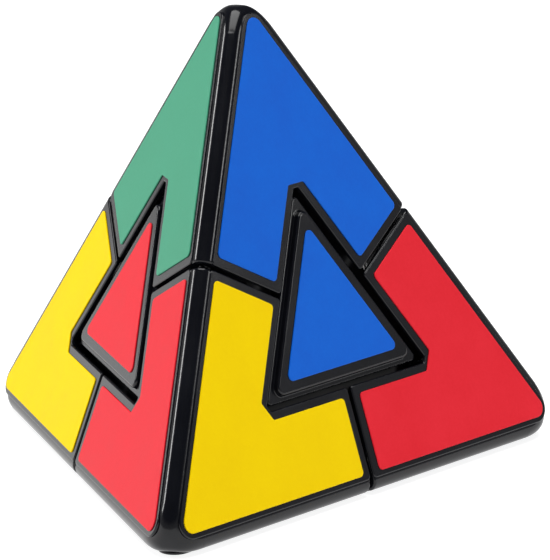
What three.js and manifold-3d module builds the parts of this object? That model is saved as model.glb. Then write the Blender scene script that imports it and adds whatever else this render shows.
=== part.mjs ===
// Four-sided pyramid twisty puzzle: a regular tetrahedron cut into four corner
// pieces, four triangular face pieces and six inner edge pieces around a ball
// core. Millimetres, +Z up, origin at the centre of the core, where the four
// turning axes cross.
import * as THREE from "three";
import { mergeVertices } from "three/addons/utils/BufferGeometryUtils.js";
import Module from "manifold-3d";

// ---------------------------------------------------------------- dimensions
const EDGE = 98.0; // edge of the sharp tetrahedron through the body faces
const EDGE_ROUND = 2.0; // radius of the rounded edges
const TIP = 53.1; // centre to the blunt top of a corner
const TIP_BALL = 9.0; // radius of its crown
const TIP_SHOULDER = 43.55; // distance of the flats between crown and edges
const STICKER_T = 0.2; // sticker thickness
const STICKER_GAP = 0.02; // adhesive line under a sticker

// face pattern, measured in the plane of a face from its centre
const FIELD_INSET = 3.7; // sharp edge to chevron sticker
const CHEVRON_GAP = 1.84; // half the distance between two chevrons' ends
const NOTCH_STICKER = 12.2; // centre to the chevron's inner sides
const NOTCH_TIP_STICKER = 21.4; // centre to the chevron's blunt notch tip
const TRI_STICKER = 7.43; // inner radius of the triangle sticker
const CAP_TOP = 8.85; // inner radius of the cap's flat top
const CAP_RIM = 9.15; // inner radius of the cap below its bevelled rim
const CAP_RIM_DEPTH = 0.35;
const CAP_SKIRT = 10.15; // inner radius of the cap's skirt
const CAP_SKIRT_DEPTH = 0.95;
const CAP_CORNER_TRIM = 1.9; // how far the cap's three corners are trimmed
const SKIRT_CORNER_TRIM = 0.75; // and the skirt's, which reach into the notches
const NOTCH_TIP_BODY = 20.6; // centre to the body's blunt notch tip

// turning surface around each corner axis (radius, height) and its clearances
const TURN_SIDE = 9.45; // inner radius of the triangle the turning surface follows
const TURN_FLOOR = -3.4; // height of the layer's flat lower boundary
const CUT_HALF = 0.3; // half width of the straight cuts between corner pieces
const CLEAR = 0.16; // clearance from the turning surface, each side
const GROOVE_R = 18.0; // outer radius of the retaining groove under the floor
const POST_R = 1.4; // radius of a core post where face pieces sweep past it
const BALL_R = 8.0; // core ball
const TURN_SEGMENTS = 36;

// corner piece
const WALL = 2.2; // wall of the corner shell behind a face
const CAVITY_Z = 31.5; // floor height of the shell's hollow
const SOCKET_R = 7.4; // socket in the shell for the inner base
const SOCKET_TOP = 30.0;
const BASE_GAP = 0.3; // gap between shell and inner base
const BORE_R = 1.9; // inner base bore around the post
const SEAT_Z = 23.6; // spring seat height
const SEAT_R = 3.75; // counterbore radius around the spring

// post, screw, washer and spring
const POST_FOOT_GAP = 0.3;
const POST_TOP = 25.4;
const WASHER_R = 3.2;
const WASHER_BORE = 1.75;
const WASHER_T = 0.6;
const SPRING_R = 2.55;
const SPRING_WIRE = 0.3;
const SPRING_TURNS = 4;
const SCREW_HEAD_R = 3.2;
const SCREW_HEAD_T = 2.0;
const SCREW_HEAD_Z = 30.6;

// face piece
const FOOT_TOP = 15.6; // the foot below this height spreads under the corner pieces
const FACE_BORE_R = 3.6; // central hole of the foot, closed by the pin
const PIN_R = 3.5;
const PIN_HEAD_Z = 12.0;

// inner edge piece
const EDGE_PIECE_DEPTH = 3.8; // its outer flats lie this far under the two faces
const EDGE_PIECE_INNER = 13.0; // radius of the hollow round the core

const AX = EDGE / Math.sqrt(3); // circumradius of a face
const HEIGHT = EDGE * Math.sqrt(2 / 3);
const FACE_D = HEIGHT / 4; // centre to face
const VERT_D = HEIGHT * 0.75; // centre to corner
const SQ = Math.sqrt(8) / 3; // sine of the angle between two axes

// ---------------------------------------------------------------- solids
const wasm = await Module();
wasm.setup();
const { Manifold, Mesh } = wasm;

function solid(geometry) {
  const g = geometry.index ? geometry.toNonIndexed() : geometry.clone();
  for (const name of Object.keys(g.attributes))
    if (name !== "position") g.deleteAttribute(name);
  const m = mergeVertices(g, 1e-4);
  return new Manifold(
    new Mesh({
      numProp: 3,
      vertProperties: new Float32Array(m.attributes.position.array),
      triVerts: new Uint32Array(m.index.array),
    }),
  );
}

function geometryOf(body) {
  const mesh = body.getMesh();
  const g = new THREE.BufferGeometry();
  const n = mesh.numProp;
  const src = mesh.vertProperties;
  const pos = new Float32Array((src.length / n) * 3);
  for (let i = 0; i < src.length / n; i++)
    for (let k = 0; k < 3; k++) pos[3 * i + k] = src[n * i + k];
  g.setAttribute("position", new THREE.BufferAttribute(pos, 3));
  g.setIndex(new THREE.BufferAttribute(new Uint32Array(mesh.triVerts), 1));
  const flat = g.toNonIndexed();
  flat.computeVertexNormals();
  return flat;
}

const place = (body, matrix) => body.transform(matrix.elements);

// A ring or disc about +Z from a closed (radius, height) profile.
function lathe(profile, segments = TURN_SEGMENTS) {
  const pts = profile.map(([r, z]) => new THREE.Vector2(r, z));
  const area = pts.reduce((s, p, i) => {
    const q = pts[(i + 1) % pts.length];
    return s + p.x * q.y - q.x * p.y;
  }, 0);
  if (area < 0) pts.reverse();
  const onAxis = pts.filter((p) => p.x === 0).length;
  if (onAxis) while (pts[0].x !== 0 || pts[pts.length - 1].x !== 0) pts.push(pts.shift());
  else pts.push(pts[0].clone());
  const g = new THREE.LatheGeometry(pts, segments);
  g.rotateX(Math.PI / 2);
  let s = solid(g);
  if (s.volume() < 0) {
    pts.reverse();
    const h = new THREE.LatheGeometry(pts, segments);
    h.rotateX(Math.PI / 2);
    s = solid(h);
  }
  return s;
}

// A prism of an (x, y) outline between two heights.
function prism(outline, z0, z1) {
  const shape = new THREE.Shape(outline.map(([x, y]) => new THREE.Vector2(x, y)));
  const g = new THREE.ExtrudeGeometry(shape, { depth: z1 - z0, bevelEnabled: false });
  g.translate(0, 0, z0);
  return solid(g);
}

// A convex solid from rings of the same number of points, bottom ring first.
function loft(rings) {
  const n = rings[0].length;
  const pos = [];
  const idx = [];
  rings.forEach((ring) => ring.forEach((p) => pos.push(...p)));
  for (let k = 0; k + 1 < rings.length; k++)
    for (let i = 0; i < n; i++) {
      const a = k * n + i;
      const b = k * n + ((i + 1) % n);
      idx.push(a, b, b + n, a, b + n, a + n);
    }
  for (let i = 1; i + 1 < n; i++) {
    idx.push(0, i + 1, i);
    const t = (rings.length - 1) * n;
    idx.push(t, t + i, t + i + 1);
  }
  const g = new THREE.BufferGeometry();
  g.setAttribute("position", new THREE.BufferAttribute(new Float32Array(pos), 3));
  g.setIndex(idx);
  let s = solid(g);
  if (s.volume() < 0) {
    for (let i = 0; i < idx.length; i += 3) [idx[i + 1], idx[i + 2]] = [idx[i + 2], idx[i + 1]];
    g.setIndex(idx);
    s = solid(g);
  }
  return s;
}

// ---------------------------------------------------------------- frames
// axis i points from the core to corner i; corner 1 is on top, corner 2 in front
const AXES = [
  new THREE.Vector3(0, 0, 1),
  ...[-90, 30, 150].map((deg) => {
    const a = THREE.MathUtils.degToRad(deg);
    return new THREE.Vector3(SQ * Math.cos(a), SQ * Math.sin(a), -1 / 3);
  }),
];
// frame of corner i: z along axis i, y so that another axis lies in the yz plane
function frameOf(i, towards) {
  const z = AXES[i].clone().normalize();
  const y = AXES[towards].clone().addScaledVector(z, -AXES[towards].dot(z)).normalize();
  const x = new THREE.Vector3().crossVectors(y, z);
  return new THREE.Matrix4().makeBasis(x, y, z);
}
// even permutations keep every corner frame a rotation of the first
const CORNER_FRAMES = [frameOf(0, 1), frameOf(1, 0), frameOf(2, 3), frameOf(3, 2)];
// face i lies opposite corner i: z outwards (minus axis i), y towards a corner
function faceFrame(i, towards) {
  const z = AXES[i].clone().multiplyScalar(-1).normalize();
  const y = AXES[towards].clone().addScaledVector(z, -AXES[towards].dot(z)).normalize();
  const x = new THREE.Vector3().crossVectors(y, z);
  return new THREE.Matrix4().makeBasis(x, y, z);
}

// ---------------------------------------------------------------- outer body
// Tetrahedron with its edges and corners rounded by flats tangent to the rounding.
function halfSpace(normal, distance) {
  const box = new THREE.BoxGeometry(400, 400, 400);
  box.translate(0, 0, distance - 200);
  const m = new THREE.Matrix4();
  const z = normal.clone().normalize();
  const helper = Math.abs(z.z) < 0.9 ? new THREE.Vector3(0, 0, 1) : new THREE.Vector3(1, 0, 0);
  const x = new THREE.Vector3().crossVectors(helper, z).normalize();
  const y = new THREE.Vector3().crossVectors(z, x);
  m.makeBasis(x, y, z);
  return place(solid(box), m);
}

function tetra(faceDistance, round = 0, steps = 0) {
  const inner = faceDistance - round; // distance of the inset faces
  let body = null;
  const cut = (n, d) => {
    const h = halfSpace(n, d);
    body = body ? body.intersect(h) : h;
  };
  for (const a of AXES) cut(a.clone().multiplyScalar(-1), faceDistance);
  if (round > 0) {
    for (let i = 0; i < 4; i++)
      for (let j = i + 1; j < 4; j++) {
        const ni = AXES[i].clone().multiplyScalar(-1);
        const nj = AXES[j].clone().multiplyScalar(-1);
        // inset edge point: nearest the centre on the line both inset faces share
        const mid = ni.clone().add(nj).normalize();
        const edgeD = inner / ni.dot(mid);
        for (let k = 1; k <= steps; k++) {
          const t = k / (steps + 1);
          const ang = ni.angleTo(nj);
          const w = ni
            .clone()
            .multiplyScalar(Math.sin((1 - t) * ang))
            .addScaledVector(nj, Math.sin(t * ang))
            .normalize();
          cut(w, edgeD * w.dot(mid) + round);
        }
      }
    for (let i = 0; i < 4; i++) {
      // blunt crown: flats tangent to a large ball, and one across each edge's end
      const c = TIP - TIP_BALL;
      const ns = [0, 1, 2, 3].filter((k) => k !== i).map((k) => AXES[k].clone().multiplyScalar(-1));
      const tilted = (side, deg) => {
        const t = THREE.MathUtils.degToRad(deg);
        const s = side.clone().addScaledVector(AXES[i], -side.dot(AXES[i])).normalize();
        return s.multiplyScalar(Math.sin(t)).addScaledVector(AXES[i], Math.cos(t));
      };
      cut(AXES[i], TIP);
      for (let k = 0; k < 3; k++) {
        const edge = ns[k].clone().add(ns[(k + 1) % 3]);
        cut(tilted(edge, 17), c * Math.cos(THREE.MathUtils.degToRad(17)) + TIP_BALL);
        cut(tilted(edge, 37), TIP_SHOULDER);
        cut(tilted(ns[k], 17), c * Math.cos(THREE.MathUtils.degToRad(17)) + TIP_BALL);
      }
    }
  }
  return body;
}

// ---------------------------------------------------------------- turning surface
// Everything inside this solid of revolution turns with the corner. Its section
// follows the straight cuts between corner pieces, the sides of the triangular
// face pieces, the flat floor of the layer, a groove that holds the face pieces'
// feet, and a cone that keeps clear of the three other posts.
const Q = 2 * TURN_SIDE; // circumradius of the followed triangle
const zf = FACE_D / 3; // height of a face centre along a corner axis
const xf = FACE_D * SQ; // its distance from the axis
function cutPoint(t) {
  const x = xf - t / 6;
  return [Math.hypot(x, (Math.sqrt(3) / 2) * t), zf + (t * Math.SQRT2) / 3];
}
function sidePoint(s) {
  const x = xf - Q / 12 + (s * Math.sqrt(3)) / 6;
  const u = (Math.sqrt(3) / 4) * Q + s / 2;
  return [Math.hypot(x, u), zf + (Q * Math.SQRT2) / 6 - s * Math.sqrt(2 / 3)];
}
function turning(sign) {
  // sign +1: the kept-out volume (grown), -1: the contained volume (shrunk)
  const d = sign * CLEAR;
  const cutD = sign * CUT_HALF;
  const half = EDGE / (2 * Math.sqrt(3)); // face centre to edge midpoint
  const cuts = [];
  for (let k = 0; k <= 3; k++) cuts.push(cutPoint(half + ((Q / 2 - half) * k) / 3));
  const sEnd = (zf + (Q * Math.SQRT2) / 6 - TURN_FLOOR) / Math.sqrt(2 / 3);
  const sides = [];
  for (let k = 0; k <= 3; k++) sides.push(sidePoint((sEnd * k) / 3));
  // move the straight-cut curve along its normal: down for the grown volume
  const shift = (pts, off) =>
    pts.map((p, i) => {
      const a = pts[Math.max(0, i - 1)];
      const b = pts[Math.min(pts.length - 1, i + 1)];
      const tx = b[0] - a[0];
      const tz = b[1] - a[1];
      const l = Math.hypot(tx, tz);
      return [p[0] + (off * -tz) / l, p[1] + (off * tx) / l];
    });
  const C = shift(cuts, cutD); // the cuts run inwards, so this moves them down
  const S = shift(sides, d); // the sides run outwards, so this moves them out
  // join of the two curves: intersect the last cut segment with the first side segment
  const meet = (a, b, c, e) => {
    const d1 = [b[0] - a[0], b[1] - a[1]];
    const d2 = [e[0] - c[0], e[1] - c[1]];
    const det = d1[0] * -d2[1] + d2[0] * d1[1];
    const t = ((c[0] - a[0]) * -d2[1] + d2[0] * (c[1] - a[1])) / det;
    return [a[0] + t * d1[0], a[1] + t * d1[1]];
  };
  const floor = TURN_FLOOR - d;
  const ballR = BALL_R + 0.35 - d;
  const coneZ = (r) => -r / (2 * Math.SQRT2) + (POST_R + 0.25) / SQ - d;
  const join = meet(C[C.length - 2], C[C.length - 1], S[0], S[1]);
  const n = S.length;
  const corner = meet(S[n - 2], S[n - 1], [0, floor], [1, floor]);
  const grooveR = GROOVE_R + d;
  // cone meets the ball
  const slope = -1 / (2 * Math.SQRT2);
  const c0 = coneZ(0);
  const A = 1 + slope * slope;
  const B = slope * c0;
  const Cq = c0 * c0 - ballR * ballR;
  const rb = (-B + Math.sqrt(B * B - A * Cq)) / A;
  const holeR = BORE_R - 0.05 - d;
  const ball = [];
  const th0 = Math.atan2(coneZ(rb), rb);
  const th1 = Math.acos(holeR / ballR);
  for (let k = 0; k <= 2; k++) {
    const th = th0 + ((th1 - th0) * k) / 2;
    ball.push([ballR * Math.cos(th), ballR * Math.sin(th)]);
  }
  const top = VERT_D + 30;
  const edgeTop = cuts[0][1] - cutD;
  const profile = [
    [holeR, top],
    [90, top],
    [90, edgeTop],
    [C[0][0] + 0.0, edgeTop],
    ...C.slice(1, -1),
    join,
    ...S.slice(1, -1),
    corner,
    [grooveR, floor],
    [grooveR, coneZ(grooveR)],
    ...ball,
  ];
  return lathe(profile);
}


// ---------------------------------------------------------------- pieces
const body = tetra(FACE_D, EDGE_ROUND, 2);
const contained = turning(-1); // what turns with corner 1
const keptOut = turning(1); // what stays clear of it
const turnTo = (i) =>
  CORNER_FRAMES[i].clone().multiply(CORNER_FRAMES[0].clone().invert());
const grown = [0, 1, 2, 3].map((i) => place(keptOut, turnTo(i)));
const shrunk = [0, 1, 2, 3].map((i) => place(contained, turnTo(i)));

// corner piece, built for corner 1
const axisFill = lathe([[0, SEAT_Z - 8], [POST_R + 2, SEAT_Z - 8], [POST_R + 2, VERT_D + 20], [0, VERT_D + 20]], 18);
const cornerRegion = body
  .intersect(shrunk[0].add(axisFill))
  .subtract(grown[1])
  .subtract(grown[2])
  .subtract(grown[3]);
const notchTrim = (() => {
  // blunt ends of the three notches that surround the face pieces
  let out = null;
  for (const k of [1, 2, 3]) {
    const f = faceFrame(k, 0);
    const w = (2 * TURN_SIDE) / Math.sqrt(3);
    const s = prism(
      [[-w, 0], [w, 0], [1.35, NOTCH_TIP_BODY], [-1.35, NOTCH_TIP_BODY]],
      FACE_D - 4,
      FACE_D + 5,
    );
    const p = place(s, f);
    out = out ? out.add(p) : p;
  }
  return out;
})();
const hollow = tetra(FACE_D - WALL).intersect(
  halfSpace(new THREE.Vector3(0, 0, -1), -CAVITY_Z),
);
const socket = lathe([[0, 5], [SOCKET_R, 5], [SOCKET_R, CAVITY_Z + 0.5], [0, CAVITY_Z + 0.5]], 24);
const cornerShell = cornerRegion.subtract(notchTrim).subtract(hollow).subtract(socket);

const baseR = SOCKET_R - BASE_GAP;
const baseEnvelope = lathe(
  [
    [BORE_R, 5],
    [baseR, 5],
    [baseR, SOCKET_TOP],
    [SEAT_R, SOCKET_TOP],
    [SEAT_R, SEAT_Z],
    [BORE_R, SEAT_Z],
  ],
  24,
);
const cornerBase = cornerRegion.intersect(baseEnvelope);

// face piece, built for the face opposite corner 1 (the bottom face)
const faceRegion = body
  .intersect(shrunk[1])
  .intersect(shrunk[2])
  .intersect(shrunk[3])
  .subtract(grown[0]);
function triangleRing(inner, trim, z) {
  const ring = [];
  for (let k = 0; k < 3; k++) {
    const a = (k * 2 * Math.PI) / 3 + Math.PI / 2;
    const r = 2 * inner - trim;
    const h = trim / Math.sqrt(3);
    for (const s of [1, -1])
      ring.push([
        r * Math.cos(a) + s * h * Math.sin(a),
        r * Math.sin(a) - s * h * Math.cos(a),
        z,
      ]);
  }
  return ring;
}
const capEnvelope = place(
  loft([
    triangleRing(CAP_SKIRT, SKIRT_CORNER_TRIM, 5),
    triangleRing(CAP_SKIRT, SKIRT_CORNER_TRIM, FACE_D - CAP_SKIRT_DEPTH),
    triangleRing(CAP_RIM + 0.05, CAP_CORNER_TRIM, FACE_D - CAP_SKIRT_DEPTH + 0.05),
    triangleRing(CAP_RIM, CAP_CORNER_TRIM, FACE_D - CAP_RIM_DEPTH),
    triangleRing(CAP_TOP, CAP_CORNER_TRIM - 0.3, FACE_D + 0.0),
  ]).add(lathe([[0, 2], [26, 2], [26, FOOT_TOP], [0, FOOT_TOP]], 12)),
  faceFrame(0, 1),
);
const faceHollow = place(
  lathe(
    [
      [0, 5],
      [FACE_BORE_R, 5],
      [FACE_BORE_R, PIN_HEAD_Z],
      [FACE_BORE_R + 1.6, PIN_HEAD_Z],
      [FACE_BORE_R + 1.6, FACE_D - WALL],
      [0, FACE_D - WALL],
    ],
    18,
  ),
  faceFrame(0, 1),
);
const faceCap = faceRegion.intersect(capEnvelope).subtract(faceHollow);
const facePin = place(
  lathe(
    [
      [0, BALL_R + 1.4],
      [PIN_R - 0.6, BALL_R + 1.4],
      [PIN_R, BALL_R + 2.0],
      [PIN_R, PIN_HEAD_Z + 0.6],
      [PIN_R - 0.5, PIN_HEAD_Z + 1.2],
      [0, PIN_HEAD_Z + 1.2],
    ],
    18,
  ),
  faceFrame(0, 1),
);

// inner edge piece, built for the edge between corners 1 and 2: it fills the
// wedge that turns with both corners, under the floors of the notches
const edgeRegion = tetra(FACE_D - EDGE_PIECE_DEPTH)
  .intersect(shrunk[0])
  .intersect(shrunk[1])
  .subtract(grown[2])
  .subtract(grown[3])
  .subtract(solid(new THREE.SphereGeometry(EDGE_PIECE_INNER, 18, 12)));
const edgePiece = edgeRegion
  .decompose()
  .reduce((a, b) => (a.volume() > b.volume() ? a : b));

// core
const coreBall = solid(
  new THREE.SphereGeometry(BALL_R, 18, 12).rotateX(Math.PI / 2),
);
const footZ = BALL_R + POST_FOOT_GAP;
const corePost = lathe(
  [
    [0.0, footZ + 0.02],
    [POST_R, footZ + 0.02],
    [POST_R, 19.0],
    [POST_R, POST_TOP],
    [0, POST_TOP],
  ],
  20,
);
const screw = lathe(
  [
    [0, POST_TOP + 0.02],
    [POST_R - 0.15, POST_TOP + 0.02],
    [POST_R - 0.15, SCREW_HEAD_Z],
    [SCREW_HEAD_R, SCREW_HEAD_Z],
    [SCREW_HEAD_R, SCREW_HEAD_Z + SCREW_HEAD_T - 0.5],
    [SCREW_HEAD_R - 0.6, SCREW_HEAD_Z + SCREW_HEAD_T],
    [0, SCREW_HEAD_Z + SCREW_HEAD_T],
  ],
  20,
);
const washer = lathe(
  [
    [WASHER_BORE, SCREW_HEAD_Z - 0.05 - WASHER_T],
    [WASHER_R, SCREW_HEAD_Z - 0.05 - WASHER_T],
    [WASHER_R, SCREW_HEAD_Z - 0.05],
    [WASHER_BORE, SCREW_HEAD_Z - 0.05],
  ],
  20,
);
class Helix extends THREE.Curve {
  constructor(r, z0, z1, turns) {
    super();
    Object.assign(this, { r, z0, z1, turns });
  }
  getPoint(t, target = new THREE.Vector3()) {
    const a = 2 * Math.PI * this.turns * t;
    return target.set(
      this.r * Math.cos(a),
      this.r * Math.sin(a),
      this.z0 + (this.z1 - this.z0) * t,
    );
  }
}
const spring = (() => {
  const wire = new THREE.Shape();
  for (let k = 0; k < 4; k++) {
    const a = (k * Math.PI) / 2;
    const x = SPRING_WIRE * Math.cos(a);
    const y = SPRING_WIRE * Math.sin(a);
    if (k) wire.lineTo(x, y);
    else wire.moveTo(x, y);
  }
  wire.closePath();
  const z0 = SEAT_Z + SPRING_WIRE + 0.05;
  const z1 = SCREW_HEAD_Z - 0.05 - WASHER_T - SPRING_WIRE - 0.05;
  return solid(
    new THREE.ExtrudeGeometry(wire, {
      steps: SPRING_TURNS * 10,
      extrudePath: new Helix(SPRING_R, z0, z1, SPRING_TURNS),
      bevelEnabled: false,
    }),
  );
})();

// stickers
function roundedOutline(points, radii, steps) {
  const out = [];
  const n = points.length;
  points.forEach((p, i) => {
    const r = radii[i];
    const a = points[(i + n - 1) % n];
    const b = points[(i + 1) % n];
    const u = [a[0] - p[0], a[1] - p[1]];
    const v = [b[0] - p[0], b[1] - p[1]];
    const lu = Math.hypot(...u);
    const lv = Math.hypot(...v);
    const ang = Math.acos((u[0] * v[0] + u[1] * v[1]) / (lu * lv));
    const cut = r / Math.tan(ang / 2);
    const s = [p[0] + (u[0] / lu) * cut, p[1] + (u[1] / lu) * cut];
    const e = [p[0] + (v[0] / lv) * cut, p[1] + (v[1] / lv) * cut];
    const bis = [u[0] / lu + v[0] / lv, u[1] / lu + v[1] / lv];
    const lb = Math.hypot(...bis);
    const c = [
      p[0] + (bis[0] / lb) * (r / Math.sin(ang / 2)),
      p[1] + (bis[1] / lb) * (r / Math.sin(ang / 2)),
    ];
    const a0 = Math.atan2(s[1] - c[1], s[0] - c[0]);
    let da = Math.atan2(e[1] - c[1], e[0] - c[0]) - a0;
    if (da > Math.PI) da -= 2 * Math.PI;
    if (da < -Math.PI) da += 2 * Math.PI;
    for (let k = 0; k <= steps; k++) {
      const t = a0 + (da * k) / steps;
      out.push([c[0] + r * Math.cos(t), c[1] + r * Math.sin(t)]);
    }
  });
  return out;
}
const halfHeight = EDGE / (2 * Math.sqrt(3)); // face centre to edge midpoint
const edgePoint = (side, along, across) => {
  // side +1 or -1: the edge right or left of the corner at the top of the face
  const m = [(side * EDGE) / 4, halfHeight / 2];
  const t = [-side * 0.5, Math.sqrt(3) / 2];
  const nrm = [-side * (Math.sqrt(3) / 2), -0.5];
  return [m[0] + along * t[0] + across * nrm[0], m[1] + along * t[1] + across * nrm[1]];
};
const tipHalf = (NOTCH_STICKER - NOTCH_TIP_STICKER / 2) / (Math.sqrt(3) / 2);
const chevronOutline = roundedOutline(
  [
    [0, AX - 2 * FIELD_INSET],
    edgePoint(-1, CHEVRON_GAP, FIELD_INSET),
    edgePoint(-1, CHEVRON_GAP, halfHeight - NOTCH_STICKER),
    [-tipHalf, NOTCH_TIP_STICKER],
    [tipHalf, NOTCH_TIP_STICKER],
    edgePoint(1, CHEVRON_GAP, halfHeight - NOTCH_STICKER),
    edgePoint(1, CHEVRON_GAP, FIELD_INSET),
  ],
  [1.6, 0.8, 0.6, 0.5, 0.5, 0.6, 0.8],
  1,
);
const triangleOutline = roundedOutline(
  [0, 1, 2].map((k) => {
    const a = (k * 2 * Math.PI) / 3 + Math.PI / 2;
    return [2 * TRI_STICKER * Math.cos(a), 2 * TRI_STICKER * Math.sin(a)];
  }),
  [0.9, 0.9, 0.9],
  2,
);
const stickerZ = FACE_D + STICKER_GAP;
const chevronSticker = prism(chevronOutline, stickerZ, stickerZ + STICKER_T);
const triangleSticker = place(
  prism(triangleOutline, stickerZ, stickerZ + STICKER_T),
  faceFrame(0, 1),
);

// ---------------------------------------------------------------- assembly
const plastic = (name, color, roughness = 0.3) =>
  new THREE.MeshStandardMaterial({ name, color, roughness, metalness: 0 });
const black = plastic("black_plastic", 0x17181b, 0.25);
const blackInner = plastic("inner_plastic", 0x1c1d20, 0.45);
const steel = new THREE.MeshStandardMaterial({
  name: "steel",
  color: 0x9a9c9e,
  roughness: 0.35,
  metalness: 1,
});
const colors = {
  green: plastic("green_sticker", 0x3f9c78, 0.4),
  blue: plastic("blue_sticker", 0x0163d2, 0.4),
  red: plastic("red_sticker", 0xe82738, 0.4),
  yellow: plastic("yellow_sticker", 0xf6d401, 0.4),
};

const group = new THREE.Group();
function addMesh(name, body_, material, matrix = null) {
  const mesh = new THREE.Mesh(geometryOf(matrix ? place(body_, matrix) : body_), material);
  mesh.name = name;
  group.add(mesh);
}

addMesh("core_ball", coreBall, blackInner);
// sticker colours of each corner piece, by the face they lie on
const cornerColors = [
  { 1: "red", 2: "green", 3: "blue" },
  { 0: "green", 2: "red", 3: "yellow" },
  { 0: "blue", 1: "yellow", 3: "red" },
  { 0: "blue", 1: "green", 2: "yellow" },
];
const faceColors = ["green", "yellow", "red", "blue"];
for (let i = 0; i < 4; i++) {
  const m = turnTo(i);
  const n = i + 1;
  addMesh(`corner_shell_${n}`, cornerShell, black, m);
  addMesh(`corner_base_${n}`, cornerBase, blackInner, m);
  addMesh(`core_post_${n}`, corePost, blackInner, m);
  addMesh(`screw_${n}`, screw, steel, m);
  addMesh(`washer_${n}`, washer, steel, m);
  addMesh(`spring_${n}`, spring, steel, m);
  for (const k of [0, 1, 2, 3])
    if (k !== i)
      addMesh(
        `chevron_${n}_face_${k + 1}`,
        chevronSticker,
        colors[cornerColors[i][k]],
        faceFrame(k, i),
      );
  addMesh(`face_cap_${n}`, faceCap, black, m);
  addMesh(`face_pin_${n}`, facePin, blackInner, m);
  addMesh(`triangle_${n}`, triangleSticker, colors[faceColors[i]], m);
}

// one inner edge piece for each pair of corners
for (const [i, j] of [[0, 1], [0, 2], [0, 3], [1, 2], [2, 3], [3, 1]])
  addMesh(
    `edge_piece_${i + 1}_${j + 1}`,
    edgePiece,
    blackInner,
    frameOf(i, j).multiply(frameOf(0, 1).invert()),
  );

export default group;
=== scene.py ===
import math
import bpy
import numpy as np
from mathutils import Matrix, Vector


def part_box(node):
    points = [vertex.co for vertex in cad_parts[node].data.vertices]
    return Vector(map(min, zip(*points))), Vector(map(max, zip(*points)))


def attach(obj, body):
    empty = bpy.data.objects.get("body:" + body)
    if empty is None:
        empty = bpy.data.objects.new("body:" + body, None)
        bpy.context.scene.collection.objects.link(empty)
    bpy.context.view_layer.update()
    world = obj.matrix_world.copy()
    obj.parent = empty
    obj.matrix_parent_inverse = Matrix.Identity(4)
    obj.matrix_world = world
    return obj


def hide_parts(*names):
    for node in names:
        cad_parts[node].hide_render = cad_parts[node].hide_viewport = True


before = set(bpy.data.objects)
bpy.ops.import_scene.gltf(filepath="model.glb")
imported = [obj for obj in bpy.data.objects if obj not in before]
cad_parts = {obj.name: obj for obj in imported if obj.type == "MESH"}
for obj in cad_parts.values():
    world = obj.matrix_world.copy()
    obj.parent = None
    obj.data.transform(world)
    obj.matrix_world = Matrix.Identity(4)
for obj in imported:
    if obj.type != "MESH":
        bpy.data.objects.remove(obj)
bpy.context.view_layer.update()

# ------------------------------------------------------------------ dimensions (mm, as in the CAD)
EDGE = 98.0
FACE_D = EDGE * math.sqrt(2 / 3) / 4
VERT_D = 3 * FACE_D
AX = EDGE / math.sqrt(3)
HALF = EDGE / (2 * math.sqrt(3))
SQ = math.sqrt(8) / 3
PLATEAU = 0.2         # height of the flat panel over the rounded body
PANEL_INSET = 2.83    # sharp edge to panel
PANEL_ROUND = 2.5
NOTCH_WALL = 10.85    # centre of a face to the notch walls
PANEL_DEPTH = 0.6     # how far the panel's sides reach down in cuts and notches
PANEL_LIP = 0.21      # rounding of the panel's edge
EDGE_ROUND = 1.75
TIP = 53.05           # centre to the blunt top of a corner
TIP_BALL = 9.0        # radius of its crown
TIP_BLEND = 1.5       # rounding between the crown and the edges
TURN_SIDE = 9.45
TURN_FLOOR = -3.4
CLEAR = 0.16
CUT_GAP = 0.42
GROOVE_R = 18.0
POST_R = 1.4
BALL_R = 8.0
BORE_R = 1.9
LIP = 0.38            # rounding of the lips along cuts and notches
NOTCH_TIP = 20.7
FIELD_INSET = 3.7
CHEVRON_GAP = 1.84
NOTCH_STICKER = 12.2
NOTCH_TIP_STICKER = 21.4
TRI_STICKER = 7.43
STICKER_T = 0.2

axes = [np.array([0.0, 0.0, 1.0])] + [
    np.array([SQ * math.cos(math.radians(d)), SQ * math.sin(math.radians(d)), -1 / 3])
    for d in (-90, 30, 150)
]


def basis(z, towards):
    z = z / np.linalg.norm(z)
    y = towards - z * towards.dot(z)
    y /= np.linalg.norm(y)
    return np.stack([np.cross(y, z), y, z], 1)


corner_frames = [basis(axes[0], axes[1]), basis(axes[1], axes[0]), basis(axes[2], axes[3]), basis(axes[3], axes[2])]
turn_to = [f @ corner_frames[0].T for f in corner_frames]


def face_frame(k, i):
    return basis(-axes[k], axes[i])


# ------------------------------------------------------------------ turning surface, as a signed distance table
def turning_profile():
    q = 2 * TURN_SIDE
    zf, xf = FACE_D / 3, FACE_D * SQ
    pts = []
    n = 24
    for k in range(n):
        t = HALF + (q / 2 - HALF) * k / n
        x = xf - t / 6
        pts.append((math.hypot(x, math.sqrt(3) / 2 * t), zf + t * math.sqrt(2) / 3))
    s_end = (zf + q * math.sqrt(2) / 6 - TURN_FLOOR) / math.sqrt(2 / 3)
    for k in range(n + 1):
        s = s_end * k / n
        x = xf - q / 12 + s * math.sqrt(3) / 6
        u = math.sqrt(3) / 4 * q + s / 2
        pts.append((math.hypot(x, u), zf + q * math.sqrt(2) / 6 - s * math.sqrt(2 / 3)))
    slope = -1 / (2 * math.sqrt(2))
    c0 = (POST_R + 0.25) / SQ
    pts.append((GROOVE_R, TURN_FLOOR))
    pts.append((GROOVE_R, slope * GROOVE_R + c0))
    ball = BALL_R + 0.35
    a, b, c = 1 + slope * slope, slope * c0, c0 * c0 - ball * ball
    rb = (-b + math.sqrt(b * b - a * c)) / a
    th0 = math.atan2(slope * rb + c0, rb)
    th1 = math.acos((BORE_R - 0.05) / ball)
    for k in range(9):
        th = th0 + (th1 - th0) * k / 8
        pts.append((ball * math.cos(th), ball * math.sin(th)))
    pts += [(BORE_R - 0.05, 16.0), (0.0, 16.0), (0.0, 90.0), (90.0, 90.0), (90.0, pts[0][1])]
    return np.array(pts)


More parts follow.
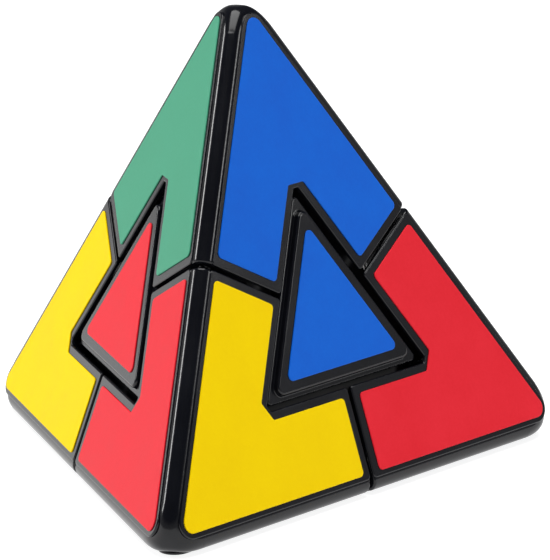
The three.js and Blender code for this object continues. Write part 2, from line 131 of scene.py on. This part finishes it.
STEP2 = 0.1
R_MAX, Z_MIN, Z_MAX = 64.0, -32.0, 66.0


def distance_table(poly):
    r = np.arange(0, R_MAX + STEP2, STEP2)
    z = np.arange(Z_MIN, Z_MAX + STEP2, STEP2)
    R, Z = np.meshgrid(r, z, indexing="ij")
    best = np.full(R.shape, 1e9)
    inside = np.zeros(R.shape, bool)
    for i in range(len(poly)):
        (x0, y0), (x1, y1) = poly[i], poly[(i + 1) % len(poly)]
        dx, dy = x1 - x0, y1 - y0
        ll = dx * dx + dy * dy
        if ll < 1e-12:
            continue
        # the axis itself isn't a wall
        crosses = ((y0 > Z) != (y1 > Z)) & (R < (x1 - x0) * (Z - y0) / ((y1 - y0) or 1e-12) + x0)
        inside ^= crosses
        if x0 == 0.0 and x1 == 0.0:
            continue
        t = np.clip(((R - x0) * dx + (Z - y0) * dy) / ll, 0, 1)
        best = np.minimum(best, (R - x0 - t * dx) ** 2 + (Z - y0 - t * dy) ** 2)
    d = np.sqrt(best)
    return np.where(inside, -d, d).astype(np.float32)


TABLE = distance_table(turning_profile())


def turning(p, axis):
    """Signed distance to the turning surface about an axis: negative inside."""
    z = p @ axis
    r = np.sqrt(np.maximum((p * p).sum(-1) - z * z, 0))
    fr = np.clip(r / STEP2, 0, TABLE.shape[0] - 1.001)
    fz = np.clip((z - Z_MIN) / STEP2, 0, TABLE.shape[1] - 1.001)
    i, j = fr.astype(np.int32), fz.astype(np.int32)
    a, b = (fr - i).astype(np.float32), (fz - j).astype(np.float32)
    return (
        (1 - a) * (1 - b) * TABLE[i, j] + a * (1 - b) * TABLE[i + 1, j]
        + (1 - a) * b * TABLE[i, j + 1] + a * b * TABLE[i + 1, j + 1]
    )


def round_max(a, b, r):
    u, v = np.maximum(a + r, 0), np.maximum(b + r, 0)
    return np.minimum(np.maximum(a, b), -r) + np.sqrt(u * u + v * v)


def soft_min(a, b, k):
    h = np.clip(0.5 + 0.5 * (b - a) / k, 0, 1)
    return b * (1 - h) + a * h - k * h * (1 - h)


# ------------------------------------------------------------------ outer body round one corner
def rounded_body(p, i):
    """Distance to the rounded tetrahedron near corner i."""
    others = [k for k in range(4) if k != i]
    d = FACE_D - PLATEAU
    rad = EDGE_ROUND
    h = [-(p @ axes[k]) - d + rad for k in others]
    best = np.maximum(np.maximum(h[0], h[1]), h[2])
    c = -1 / 3
    for a, b in ((0, 1), (1, 2), (2, 0)):
        ok = ((h[a] - c * h[b]) > 0) & ((h[b] - c * h[a]) > 0)
        e = np.sqrt(np.maximum((h[a] ** 2 + h[b] ** 2 - 2 * c * h[a] * h[b]) / (1 - c * c), 0))
        best = np.where(ok, np.maximum(best, e), best)
    # the corner point: all three multipliers positive
    g = np.linalg.inv(np.array([[1, c, c], [c, 1, c], [c, c, 1]]))
    lam = [sum(g[r, s] * h[s] for s in range(3)) for r in range(3)]
    ok = (lam[0] > 0) & (lam[1] > 0) & (lam[2] > 0)
    quad = sum(lam[r] * h[r] for r in range(3))
    best = np.where(ok, np.maximum(best, np.sqrt(np.maximum(quad, 0))), best)
    z = p @ axes[i]
    c = axes[i] * (TIP - TIP_BALL)
    crown = np.sqrt(((p - c) ** 2).sum(-1)) - TIP_BALL
    crown = np.where(z > 47.0, crown - 3.0 * np.clip((50.0 - z) / 3.0, 0, 1), -3.0 + 0 * z)
    return round_max(best - rad, crown, TIP_BLEND)


N3 = [np.array([math.cos(a), math.sin(a)]) for a in (math.radians(-90), math.radians(30), math.radians(150))]


def triangle2(u, v, inner, rnd):
    """Distance to a triangle of the given inner radius, one tip up, with rounded tips."""
    h = [u * n[0] + v * n[1] - (inner - rnd) for n in N3]
    best = np.maximum(np.maximum(h[0], h[1]), h[2])
    c = -0.5
    for a, b in ((0, 1), (1, 2), (2, 0)):
        ok = ((h[a] - c * h[b]) > 0) & ((h[b] - c * h[a]) > 0)
        e = np.sqrt(np.maximum((h[a] ** 2 + h[b] ** 2 - 2 * c * h[a] * h[b]) / (1 - c * c), 0))
        best = np.where(ok, np.maximum(best, e), best)
    return best - rnd


def corner_field(p):
    """The visible shell of corner 1."""
    body = rounded_body(p, 0)
    side = turning(p, axes[0]) + CLEAR
    for j in (1, 2, 3):
        side = np.maximum(side, CLEAR - turning(p, axes[j]))
    f = round_max(body, side, LIP)
    for j in (1, 2, 3):
        n = axes[j] - axes[0]
        n = n / np.linalg.norm(n)
        wall = round_max(body, p @ n + CUT_GAP, LIP)
        f = np.maximum(f, np.minimum(wall, body + 1.5))
    for k in (1, 2, 3):
        q = p @ face_frame(k, 0)
        u, v = np.abs(q[..., 0]), q[..., 1]
        notch = np.maximum(u * math.sqrt(3) / 2 + v / 2 - NOTCH_WALL, v - NOTCH_TIP)
        depth = q[..., 2] - FACE_D
        cut = np.maximum(notch, -(depth + 3.2))
        cut = np.maximum(cut, -v - 6)
        f = np.maximum(f, np.where(depth > -4.5, round_max(body, -cut, LIP), f))
    # socket for the inner base and the screw
    r = np.sqrt(p[..., 0] ** 2 + p[..., 1] ** 2)
    socket = np.maximum(r - 7.4, p[..., 2] - 34.0)
    return np.maximum(f, -socket)


CAP_SIDE = 9.12
SKIRT = 10.2
SKIRT_DEPTH = 0.95
FOOT_TOP = 15.6       # the foot below this height spreads under the corner pieces


def face_field(p):
    """The visible cap and foot of the face piece opposite corner 1."""
    q = p @ face_frame(0, 1)
    u, v, w = q[..., 0], q[..., 1], q[..., 2]
    depth = FACE_D - w
    top = triangle2(u, v, CAP_SIDE + 0.06 * depth, 1.25)
    upper = round_max(-depth, top, 0.32)
    skirt = round_max(SKIRT_DEPTH - depth, triangle2(u, v, SKIRT, 0.95), 0.25)
    f = soft_min(upper, skirt, 0.2)
    f = soft_min(f, w - FOOT_TOP, 0.4)
    for j in (1, 2, 3):
        f = round_max(f, turning(p, axes[j]) + CLEAR, 0.1)
    f = np.maximum(f, CLEAR - turning(p, axes[0]))
    r = np.sqrt(u * u + v * v)
    return np.maximum(f, -np.maximum(r - 3.6, w - 14.6))


# ------------------------------------------------------------------ surface nets
def surface_net(field, low, high, h):
    n = np.ceil((high - low) / h).astype(int) + 1
    ax = [low[k] + h * np.arange(n[k]) for k in range(3)]
    F = np.empty(tuple(n), np.float32)
    for i in range(n[0]):
        P = np.empty((n[1], n[2], 3))
        P[..., 0] = ax[0][i]
        P[..., 1] = ax[1][:, None]
        P[..., 2] = ax[2][None, :]
        F[i] = field(P)
    inside = F < 0
    c = np.zeros(tuple(n - 1), np.int8)
    offs = [(a, b, d) for a in (0, 1) for b in (0, 1) for d in (0, 1)]
    for a, b, d in offs:
        c += inside[a:n[0] - 1 + a, b:n[1] - 1 + b, d:n[2] - 1 + d]
    active = (c > 0) & (c < 8)
    index = np.full(active.shape, -1, np.int64)
    cells = np.argwhere(active)
    index[active] = np.arange(len(cells))
    total = np.zeros((len(cells), 3))
    count = np.zeros(len(cells))
    edges = [(a, b) for a in range(8) for b in range(a + 1, 8) if sum(abs(offs[a][k] - offs[b][k]) for k in range(3)) == 1]
    val = [F[cells[:, 0] + o[0], cells[:, 1] + o[1], cells[:, 2] + o[2]] for o in offs]
    for a, b in edges:
        va, vb = val[a], val[b]
        m = (va < 0) != (vb < 0)
        t = np.where(m, va / np.where(m, va - vb, 1), 0)
        pa, pb = np.array(offs[a], float), np.array(offs[b], float)
        total += np.where(m[:, None], pa + t[:, None] * (pb - pa), 0)
        count += m
    verts = low + h * (cells + total / count[:, None])
    quads = []
    for k in range(3):
        a, b = (k + 1) % 3, (k + 2) % 3
        s0 = [slice(None)] * 3
        s1 = [slice(None)] * 3
        s0[k], s1[k] = slice(0, -1), slice(1, None)
        x0, x1 = inside[tuple(s0)], inside[tuple(s1)]
        e = np.argwhere(x0 != x1)
        e = e[(e[:, a] > 0) & (e[:, b] > 0) & (e[:, a] < n[a] - 1) & (e[:, b] < n[b] - 1)]
        flip = x1[e[:, 0], e[:, 1], e[:, 2]]
        quad = []
        for da, db in ((0, 0), (1, 0), (1, 1), (0, 1)):
            g = e.copy()
            g[:, a] -= 1 - da
            g[:, b] -= 1 - db
            quad.append(index[g[:, 0], g[:, 1], g[:, 2]])
        quad = np.stack(quad, 1)
        quad[flip] = quad[flip][:, ::-1]
        quads.append(quad)
    return verts, np.concatenate(quads)


def gradient(field, p, e=0.02):
    g = np.empty_like(p)
    for k in range(3):
        d = np.zeros(3)
        d[k] = e
        g[:, k] = (field(p + d) - field(p - d)) / (2 * e)
    return g


def build(field, low, high, h):
    verts, quads = surface_net(field, low, high, h)
    for _ in range(3):
        g = gradient(field, verts)
        gg = np.maximum((g * g).sum(1), 0.2)
        step = (field(verts) / gg)[:, None] * g
        length = np.linalg.norm(step, axis=1, keepdims=True)
        step *= np.minimum(1, 0.4 * h / np.maximum(length, 1e-9))
        verts = verts - step
    g = gradient(field, verts, 0.05)
    normals = g / np.maximum(np.linalg.norm(g, axis=1, keepdims=True), 1e-9)
    return verts, quads, normals


def add_mesh(name, verts, faces, normals=None, mat=None):
    me = bpy.data.meshes.new(name)
    me.vertices.add(len(verts))
    me.vertices.foreach_set("co", (np.asarray(verts) * 0.001).astype(np.float32).ravel())
    flat = np.asarray(faces).astype(np.int32)
    me.loops.add(flat.size)
    me.loops.foreach_set("vertex_index", flat.ravel())
    me.polygons.add(len(flat))
    me.polygons.foreach_set("loop_start", np.arange(len(flat), dtype=np.int32) * flat.shape[1])
    me.update(calc_edges=True)
    me.validate()
    me.polygons.foreach_set("use_smooth", np.ones(len(me.polygons), bool))
    if normals is not None and len(normals) == len(me.vertices):
        me.normals_split_custom_set_from_vertices([tuple(v) for v in normals])
    ob = bpy.data.objects.new(name, me)
    bpy.context.scene.collection.objects.link(ob)
    if mat:
        me.materials.append(mat)
    return ob


# ------------------------------------------------------------------ materials
def node(nt, kind, x, y, **values):
    nd = nt.nodes.new(kind)
    nd.location = (x, y)
    for k, v in values.items():
        if k.startswith("in_"):
            nd.inputs[k[3:].replace("_", " ")].default_value = v
        else:
            setattr(nd, k, v)
    return nd


def shader(name):
    m = bpy.data.materials.new(name)
    m.use_nodes = True
    nt = m.node_tree
    return m, nt, nt.nodes["Principled BSDF"]


def ramp(nt, src, stops, x, y):
    r = node(nt, "ShaderNodeValToRGB", x, y)
    el = r.color_ramp.elements
    while len(el) > len(stops):
        el.remove(el[-1])
    while len(el) < len(stops):
        el.new(0.5)
    for e, (pos, col) in zip(el, stops):
        e.position = pos
        e.color = col if len(col) == 4 else (*col, 1)
    nt.links.new(src, r.inputs["Fac"])
    return r


def plastic(name, dark, light, rough, bump=0.05, coat=0.0):
    m, nt, b = shader(name)
    tc = node(nt, "ShaderNodeTexCoord", -1200, 0)
    cloud = node(nt, "ShaderNodeTexNoise", -900, 200, in_Scale=90.0, in_Detail=4.0, in_Roughness=0.6)
    fine = node(nt, "ShaderNodeTexNoise", -900, -150, in_Scale=1400.0, in_Detail=2.0)
    nt.links.new(tc.outputs["Object"], cloud.inputs["Vector"])
    nt.links.new(tc.outputs["Object"], fine.inputs["Vector"])
    col = ramp(nt, cloud.outputs["Fac"], [(0.3, dark), (0.75, light)], -600, 250)
    # small dust specks that sit on the surface
    dust = node(nt, "ShaderNodeTexVoronoi", -900, -450, in_Scale=420.0)
    nt.links.new(tc.outputs["Object"], dust.inputs["Vector"])
    speck = ramp(nt, dust.outputs["Distance"], [(0.0, (1, 1, 1)), (0.055, (0, 0, 0))], -600, -450)
    mixf = node(nt, "ShaderNodeMath", -350, -300, operation="MULTIPLY")
    patch = ramp(nt, cloud.outputs["Fac"], [(0.52, (0, 0, 0)), (0.66, (0.5, 0.5, 0.5))], -600, -200)
    nt.links.new(speck.outputs["Color"], mixf.inputs[0])
    nt.links.new(patch.outputs["Color"], mixf.inputs[1])
    mix = node(nt, "ShaderNodeMix", -250, 250, data_type="RGBA")
    nt.links.new(mixf.outputs[0], mix.inputs[0])
    nt.links.new(col.outputs["Color"], mix.inputs[6])
    mix.inputs[7].default_value = (0.16, 0.16, 0.165, 1)
    nt.links.new(mix.outputs[2], b.inputs["Base Color"])
    ro = ramp(nt, cloud.outputs["Fac"], [(0.25, (rough[0],) * 3), (0.8, (rough[1],) * 3)], -600, 0)
    nt.links.new(ro.outputs["Color"], b.inputs["Roughness"])
    bp = node(nt, "ShaderNodeBump", -250, -100, in_Strength=bump, in_Distance=0.0001)
    nt.links.new(fine.outputs["Fac"], bp.inputs["Height"])
    nt.links.new(bp.outputs["Normal"], b.inputs["Normal"])
    b.inputs["IOR"].default_value = 1.39
    b.inputs["Coat Weight"].default_value = coat
    b.inputs["Coat Roughness"].default_value = 0.12
    return m


def vinyl(name, base, light, rough=(0.42, 0.5), level=0.2):
    m, nt, b = shader(name)
    tc = node(nt, "ShaderNodeTexCoord", -1200, 0)
    cloud = node(nt, "ShaderNodeTexNoise", -900, 200, in_Scale=110.0, in_Detail=5.0, in_Roughness=0.65)
    grain = node(nt, "ShaderNodeTexNoise", -900, -150, in_Scale=2200.0, in_Detail=3.0)
    peel = node(nt, "ShaderNodeTexNoise", -900, -450, in_Scale=520.0, in_Detail=2.0)
    for t in (cloud, grain, peel):
        nt.links.new(tc.outputs["Object"], t.inputs["Vector"])
    add = node(nt, "ShaderNodeMath", -700, 50, operation="MULTIPLY_ADD")
    nt.links.new(grain.outputs["Fac"], add.inputs[0])
    add.inputs[1].default_value = 0.45
    nt.links.new(cloud.outputs["Fac"], add.inputs[2])
    col = ramp(nt, add.outputs[0], [(0.45, base), (1.0, light)], -500, 250)
    nt.links.new(col.outputs["Color"], b.inputs["Base Color"])
    ro = ramp(nt, cloud.outputs["Fac"], [(0.3, (rough[0],) * 3), (0.75, (rough[1],) * 3)], -500, 0)
    nt.links.new(ro.outputs["Color"], b.inputs["Roughness"])
    hsum = node(nt, "ShaderNodeMath", -500, -250, operation="MULTIPLY_ADD")
    nt.links.new(grain.outputs["Fac"], hsum.inputs[0])
    hsum.inputs[1].default_value = 0.35
    nt.links.new(peel.outputs["Fac"], hsum.inputs[2])
    bp = node(nt, "ShaderNodeBump", -250, -200, in_Strength=0.07, in_Distance=0.0001)
    nt.links.new(hsum.outputs[0], bp.inputs["Height"])
    nt.links.new(bp.outputs["Normal"], b.inputs["Normal"])
    b.inputs["IOR"].default_value = 1.4
    b.inputs["Specular IOR Level"].default_value = level
    return m


def metal(name):
    m, nt, b = shader(name)
    tc = node(nt, "ShaderNodeTexCoord", -900, 0)
    nz = node(nt, "ShaderNodeTexNoise", -700, 0, in_Scale=900.0, in_Detail=4.0)
    nt.links.new(tc.outputs["Object"], nz.inputs["Vector"])
    col = ramp(nt, nz.outputs["Fac"], [(0.3, (0.46, 0.46, 0.47)), (0.7, (0.6, 0.6, 0.61))], -450, 150)
    ro = ramp(nt, nz.outputs["Fac"], [(0.3, (0.28,) * 3), (0.7, (0.42,) * 3)], -450, -100)
    nt.links.new(col.outputs["Color"], b.inputs["Base Color"])
    nt.links.new(ro.outputs["Color"], b.inputs["Roughness"])
    b.inputs["Metallic"].default_value = 1.0
    return m


BLACK = plastic("gloss_black_plastic", (0.003, 0.0033, 0.005), (0.005, 0.0055, 0.0078), (0.13, 0.2), 0.03)
INNER = plastic("satin_black_plastic", (0.006, 0.006, 0.0075), (0.01, 0.01, 0.012), (0.4, 0.5), 0.02)
STEEL = metal("plain_steel")
VINYL = {
    "green": vinyl("green_vinyl", (0.055, 0.32, 0.185), (0.07, 0.35, 0.21)),
    "blue": vinyl("blue_vinyl", (0.0, 0.105, 0.60), (0.001, 0.13, 0.66)),
    "red": vinyl("red_vinyl", (0.76, 0.010, 0.022), (0.82, 0.018, 0.034)),
    "yellow": vinyl("yellow_vinyl", (0.92, 0.63, 0.0), (0.96, 0.68, 0.0), level=0.06),
}

# ------------------------------------------------------------------ body pieces
FINE = 0.3
h = FINE


def span(name):
    lo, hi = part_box(name)
    return np.array(lo) * 1000 - 0.9, np.array(hi) * 1000 + 0.9


lo, hi = span("corner_shell_1")
cv, cq, cn = build(corner_field, lo, hi, h)
lo, hi = span("face_cap_1")
fv, fq, fn = build(face_field, lo, hi, h * 0.85)

made = []
for i in range(4):
    r = turn_to[i]
    ob = add_mesh(f"corner_body_{i + 1}", cv @ r.T, cq, cn @ r.T, BLACK)
    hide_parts(f"corner_shell_{i + 1}")
    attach(ob, f"corner_{i + 1}")
    ob = add_mesh(f"face_body_{i + 1}", fv @ r.T, fq, fn @ r.T, BLACK)
    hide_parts(f"face_cap_{i + 1}")
    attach(ob, f"face_{i + 1}")


# ------------------------------------------------------------------ stickers
def rounded(points, radii, steps):
    out = []
    n = len(points)
    for i, p in enumerate(points):
        a, b = np.array(points[i - 1]), np.array(points[(i + 1) % n])
        p = np.array(p)
        u, v = a - p, b - p
        u, v = u / np.linalg.norm(u), v / np.linalg.norm(v)
        ang = math.acos(np.clip(u.dot(v), -1, 1))
        rr = radii[i]
        c = p + (u + v) / np.linalg.norm(u + v) * rr / math.sin(ang / 2)
        s, e = p + u * rr / math.tan(ang / 2) - c, p + v * rr / math.tan(ang / 2) - c
        a0 = math.atan2(s[1], s[0])
        da = (math.atan2(e[1], e[0]) - a0 + math.pi) % (2 * math.pi) - math.pi
        for k in range(steps + 1):
            t = a0 + da * k / steps
            out.append(c + rr * np.array([math.cos(t), math.sin(t)]))
    return np.array(out)


def edge_point(side, along, across):
    m = np.array([side * EDGE / 4, HALF / 2])
    t = np.array([-side * 0.5, math.sqrt(3) / 2])
    nr = np.array([-side * math.sqrt(3) / 2, -0.5])
    return m + along * t + across * nr


tip = (NOTCH_STICKER - NOTCH_TIP_STICKER / 2) / (math.sqrt(3) / 2)
CHEVRON = rounded(
    [(0, AX - 2 * FIELD_INSET), edge_point(-1, CHEVRON_GAP, FIELD_INSET), edge_point(-1, CHEVRON_GAP, HALF - NOTCH_STICKER),
     (-tip, NOTCH_TIP_STICKER), (tip, NOTCH_TIP_STICKER), edge_point(1, CHEVRON_GAP, HALF - NOTCH_STICKER), edge_point(1, CHEVRON_GAP, FIELD_INSET)],
    [1.6, 0.8, 0.7, 0.5, 0.5, 0.7, 0.8], 8)
TRIANGLE = rounded([(2 * TRI_STICKER * math.cos(a), 2 * TRI_STICKER * math.sin(a)) for a in (math.radians(90), math.radians(210), math.radians(330))], [0.9] * 3, 8)


def sheet(name, outline, frame_, z0, rings, mat):
    """A flat plate from rings of (inset, height) over z0, the last one its top."""
    n = len(outline)
    d0 = np.roll(outline, -1, 0) - np.roll(outline, 1, 0)
    inward = np.stack([-d0[:, 1], d0[:, 0]], 1)
    inward /= np.linalg.norm(inward, axis=1, keepdims=True)
    area = 0.5 * np.sum(outline[:, 0] * np.roll(outline[:, 1], -1) - np.roll(outline[:, 0], -1) * outline[:, 1])
    if area < 0:
        inward = -inward
    pts = []
    for inset, z in rings:
        o = outline + inward * inset
        pts.append(np.column_stack([o, np.full(n, z0 + z)]))
    V = np.concatenate(pts) @ frame_.T
    faces = []
    for k in range(len(rings) - 1):
        for i in range(n):
            j = (i + 1) % n
            faces.append([k * n + i, k * n + j, (k + 1) * n + j, (k + 1) * n + i])
    top = [(len(rings) - 1) * n + i for i in range(n)]
    bottom = list(range(n))[::-1]
    if area < 0:
        faces = [f[::-1] for f in faces]
        top, bottom = top[::-1], bottom[::-1]
    me = bpy.data.meshes.new(name)
    me.from_pydata([tuple(v * 0.001) for v in V], [], faces + [top, bottom])
    me.update()
    for p in me.polygons:
        p.use_smooth = len(p.vertices) == 4
    me.materials.append(mat)
    ob = bpy.data.objects.new(name, me)
    bpy.context.scene.collection.objects.link(ob)
    return ob


def sticker(name, outline, frame_, z0, thickness, mat):
    """Thin vinyl with a softly rounded edge."""
    rings = [(0.0, 0.0), (0.0, thickness * 0.55), (0.03, thickness * 0.85), (0.09, thickness)]
    return sheet(name, outline, frame_, z0, rings, mat)


wall = HALF - NOTCH_WALL + 0.01
ptip = (NOTCH_WALL - 0.01 - (NOTCH_TIP - 0.01) / 2) / (math.sqrt(3) / 2)
PANEL = rounded(
    [(0, AX - 2 * PANEL_INSET), edge_point(-1, CUT_GAP - 0.01, PANEL_INSET), edge_point(-1, CUT_GAP - 0.01, wall),
     (-ptip, NOTCH_TIP - 0.01), (ptip, NOTCH_TIP - 0.01), edge_point(1, CUT_GAP - 0.01, wall), edge_point(1, CUT_GAP - 0.01, PANEL_INSET)],
    [PANEL_ROUND, 0.7, 0.5, 0.35, 0.35, 0.5, 0.7], 10)
PANEL_RINGS = [(0.0, 0.0), (0.0, PANEL_DEPTH - PANEL_LIP)] + [
    (PANEL_LIP * (1 - math.cos(a)), PANEL_DEPTH - PANEL_LIP + PANEL_LIP * math.sin(a))
    for a in (math.radians(d) for d in (11.25, 22.5, 33.75, 45, 56.25, 67.5, 78.75, 90))]


CORNER_COLORS = [{1: "red", 2: "green", 3: "blue"}, {0: "green", 2: "red", 3: "yellow"}, {0: "blue", 1: "yellow", 3: "red"}, {0: "blue", 1: "green", 2: "yellow"}]
FACE_COLORS = ["green", "yellow", "red", "blue"]
for i in range(4):
    for k, color in CORNER_COLORS[i].items():
        nm = f"chevron_{i + 1}_face_{k + 1}"
        ob = sheet(f"panel_{i + 1}_{k + 1}", PANEL, face_frame(k, i), FACE_D - PANEL_DEPTH, PANEL_RINGS, BLACK)
        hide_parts(f"corner_shell_{i + 1}")
        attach(ob, f"corner_{i + 1}")
        ob = sticker(f"sticker_{i + 1}_{k + 1}", CHEVRON, face_frame(k, i), FACE_D - 0.01, STICKER_T, VINYL[color])
        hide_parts(nm)
        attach(ob, f"corner_{i + 1}")
    ob = sticker(f"sticker_tri_{i + 1}", TRIANGLE, turn_to[i] @ face_frame(0, 1), FACE_D - 0.01, STICKER_T, VINYL[FACE_COLORS[i]])
    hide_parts(f"triangle_{i + 1}")
    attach(ob, f"face_{i + 1}")

# inner CAD nodes keep their shapes and get finished materials
for name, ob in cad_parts.items():
    if name.startswith(("screw", "washer", "spring")):
        mat = STEEL
    elif name.startswith(("corner_base", "core_", "face_pin", "edge_piece")):
        mat = INNER
    elif name.startswith(("corner_shell", "face_cap")):
        mat = BLACK
    else:
        kind = name.split("_")
        if name.startswith("triangle"):
            mat = VINYL[FACE_COLORS[int(kind[1]) - 1]]
        else:
            mat = VINYL[CORNER_COLORS[int(kind[1]) - 1][int(kind[3]) - 1]]
    if not ob.data.materials:
        ob.data.materials.append(mat)
    for k in range(len(ob.material_slots)):
        ob.material_slots[k].material = mat

# ------------------------------------------------------------------ floor
floor_z = -(FACE_D + 0.24) * 0.001
me = bpy.data.meshes.new("floor")
S = 4.0
me.from_pydata([(-S, -S, floor_z), (S, -S, floor_z), (S, S, floor_z), (-S, S, floor_z)], [], [(0, 1, 2, 3)])
floor = bpy.data.objects.new("floor", me)
bpy.context.scene.collection.objects.link(floor)
fm, fnt, fb = shader("white_sweep")
ftc = node(fnt, "ShaderNodeTexCoord", -800, 0)
fnz = node(fnt, "ShaderNodeTexNoise", -600, 0, in_Scale=30.0, in_Detail=3.0)
fnt.links.new(ftc.outputs["Object"], fnz.inputs["Vector"])
fcol = ramp(fnt, fnz.outputs["Fac"], [(0.3, (0.37, 0.37, 0.37)), (0.7, (0.39, 0.39, 0.39))], -350, 0)
fnt.links.new(fcol.outputs["Color"], fb.inputs["Base Color"])
fb.inputs["Roughness"].default_value = 0.8
# the table is lit from below, as a shadowless table is
fb.inputs["Emission Color"].default_value = (1, 1, 1, 1)
fb.inputs["Emission Strength"].default_value = 0.88
me.materials.append(fm)

# ------------------------------------------------------------------ lights
world = bpy.data.worlds.new("studio")
bpy.context.scene.world = world
world.use_nodes = True
wnt = world.node_tree
bg = wnt.nodes["Background"]
wtc = node(wnt, "ShaderNodeTexCoord", -900, 0)
wsp = node(wnt, "ShaderNodeSeparateXYZ", -700, 0)
wnt.links.new(wtc.outputs["Generated"], wsp.inputs[0])
# pale walls near the horizon, a dark room above them
wr = ramp(wnt, wsp.outputs["Z"], [(0.0, (0.38, 0.38, 0.38)), (0.18, (0.36, 0.36, 0.37)), (0.36, (0.05, 0.053, 0.066)), (1.0, (0.05, 0.053, 0.066))], -500, 0)
wnt.links.new(wr.outputs["Color"], bg.inputs["Color"])
bg.inputs["Strength"].default_value = 1.0


def area(name, pos, target, size, energy, size_y=None):
    ld = bpy.data.lights.new(name, "AREA")
    ld.energy = energy
    ld.shape = "RECTANGLE"
    ld.size = size
    ld.size_y = size_y or size
    ob = bpy.data.objects.new(name, ld)
    ob.location = pos
    ob.rotation_euler = (Vector(target) - Vector(pos)).to_track_quat("-Z", "Y").to_euler()
    bpy.context.scene.collection.objects.link(ob)
    return ob


area("overhead", (0.0, 0.0, 1.3), (0, 0, 0), 1.2, 22.5)


def strip(name, direction, along, length, width, energy, distance=1.0):
    d = Vector(direction).normalized()
    a = Vector(along)
    a = (a - d * a.dot(d)).normalized()
    b = d.cross(a)
    ld = bpy.data.lights.new(name, "AREA")
    ld.energy = energy
    ld.shape = "RECTANGLE"
    ld.size = length
    ld.size_y = width
    ob = bpy.data.objects.new(name, ld)
    m4 = Matrix.Identity(4)
    for r_ in range(3):
        m4[r_][0], m4[r_][1], m4[r_][2], m4[r_][3] = a[r_], b[r_], d[r_], d[r_] * distance
    ob.matrix_world = m4
    bpy.context.scene.collection.objects.link(ob)
    return ob


strip("strip_left", (-0.91, -0.01, 0.41), (0.0, -0.577, -0.816), 0.38, 0.17, 3.6)
strip("strip_right", (0.94, 0.19, 0.37), (0.0, -0.577, -0.816), 0.2, 0.15, 0.8)

# ------------------------------------------------------------------ camera
AZ, EL = math.radians(12.382), math.radians(15.183)
DIST, FOCAL = 879.4, 5649.2
SHIFT_X, SHIFT_Y, ROLL = 5.431, 9.062, math.radians(-0.523)
back = np.array([math.sin(AZ) * math.cos(EL), -math.cos(AZ) * math.cos(EL), math.sin(EL)])
right = np.array([math.cos(AZ), math.sin(AZ), 0.0])
up = np.cross(back, right)
r2 = right * math.cos(ROLL) + up * math.sin(ROLL)
u2 = -right * math.sin(ROLL) + up * math.cos(ROLL)
pos = (back * DIST + right * SHIFT_X + up * SHIFT_Y) * 0.001
cd = bpy.data.cameras.new("camera")
cam = bpy.data.objects.new("camera", cd)
bpy.context.scene.collection.objects.link(cam)
m = Matrix.Identity(4)
for k in range(3):
    m[k][0], m[k][1], m[k][2], m[k][3] = r2[k], u2[k], back[k], pos[k]
cam.matrix_world = m
cd.sensor_fit = "VERTICAL"
cd.sensor_height = 24.0
cd.lens = FOCAL / 560.0 * 24.0
cd.clip_start = 0.05
cd.clip_end = 20.0
cd.dof.use_dof = False
bpy.context.scene.camera = cam
bpy.context.scene.view_settings.view_transform = "Standard"
